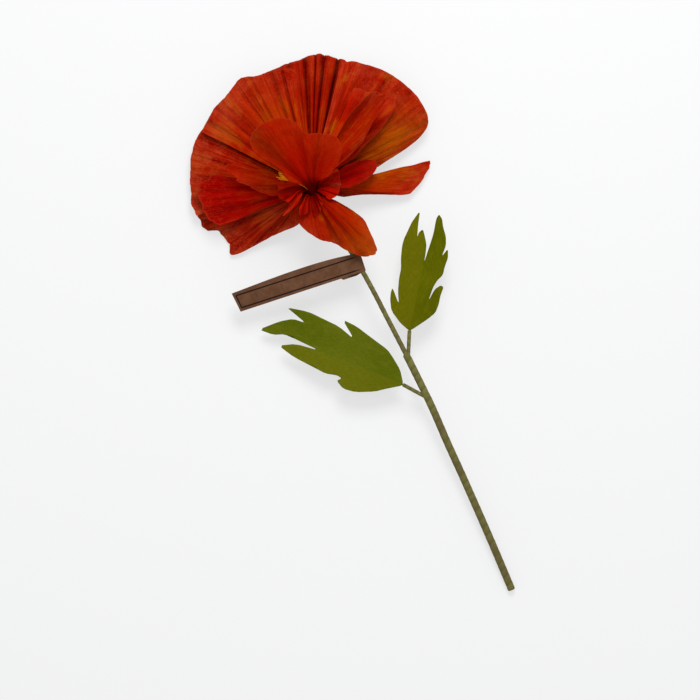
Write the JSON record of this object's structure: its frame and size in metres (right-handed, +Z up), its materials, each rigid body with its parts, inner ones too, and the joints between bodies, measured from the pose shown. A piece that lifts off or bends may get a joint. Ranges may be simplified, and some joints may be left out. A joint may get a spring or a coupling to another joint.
{
  "type": "paper poppy",
  "caption": "Paper poppy: gathered, pleated red petals on a strip-wound wire stem, with cut paper leaves and a kraft strip tag folded round the stem.",
  "frame": {"origin": "centre of the stem's cut end", "axes": "+Y along the stem from its cut end to the bloom, +Z up from the table that the flower lies on, +X to the right of the bloom seen from above"},
  "size_m": [0.2032, 0.4619, 0.0955],
  "materials": {
    "petal_paper": "crinkled crepe paper, matt",
    "inner_petal_paper": "crinkled crepe paper, matt",
    "leaf_paper": "plain paper, matt",
    "stem_wrap": "wound paper strip, matt",
    "kraft_tag": "uncoated kraft paper with ruled border",
    "stamen_paper": "fringed crepe paper",
    "wire": "plain drawn wire"
  },
  "bodies": {
    "root": {"petal_back_top": "petal_paper", "petal_back_upper_left": "petal_paper", "petal_back_left": "petal_paper", "petal_back_lower_left": "petal_paper", "petal_back_right": "petal_paper", "petal_right_long": "petal_paper", "petal_lower": "petal_paper", "petal_inner_front": "inner_petal_paper", "petal_inner_right_tall": "inner_petal_paper", "petal_inner_right_broad": "inner_petal_paper", "petal_inner_right_low": "inner_petal_paper", "petal_inner_left_upper": "inner_petal_paper", "petal_inner_left_lower": "inner_petal_paper", "collar_left": "inner_petal_paper", "collar_front": "inner_petal_paper", "collar_right": "inner_petal_paper", "stamen_fringe": "stamen_paper", "bloom_binding": "stem_wrap", "stem_wire": "wire", "stem_wrap_lower": "stem_wrap", "stem_wrap_middle": "stem_wrap", "stem_wrap_upper": "stem_wrap", "leaf_wire_lower": "wire", "leaf_wire_upper": "wire", "stalk_wrap_lower": "stem_wrap", "stalk_wrap_upper": "stem_wrap", "leaf_lower": "leaf_paper", "leaf_upper": "leaf_paper", "stem_tag": "kraft_tag"}
  },
  "joints": []
}
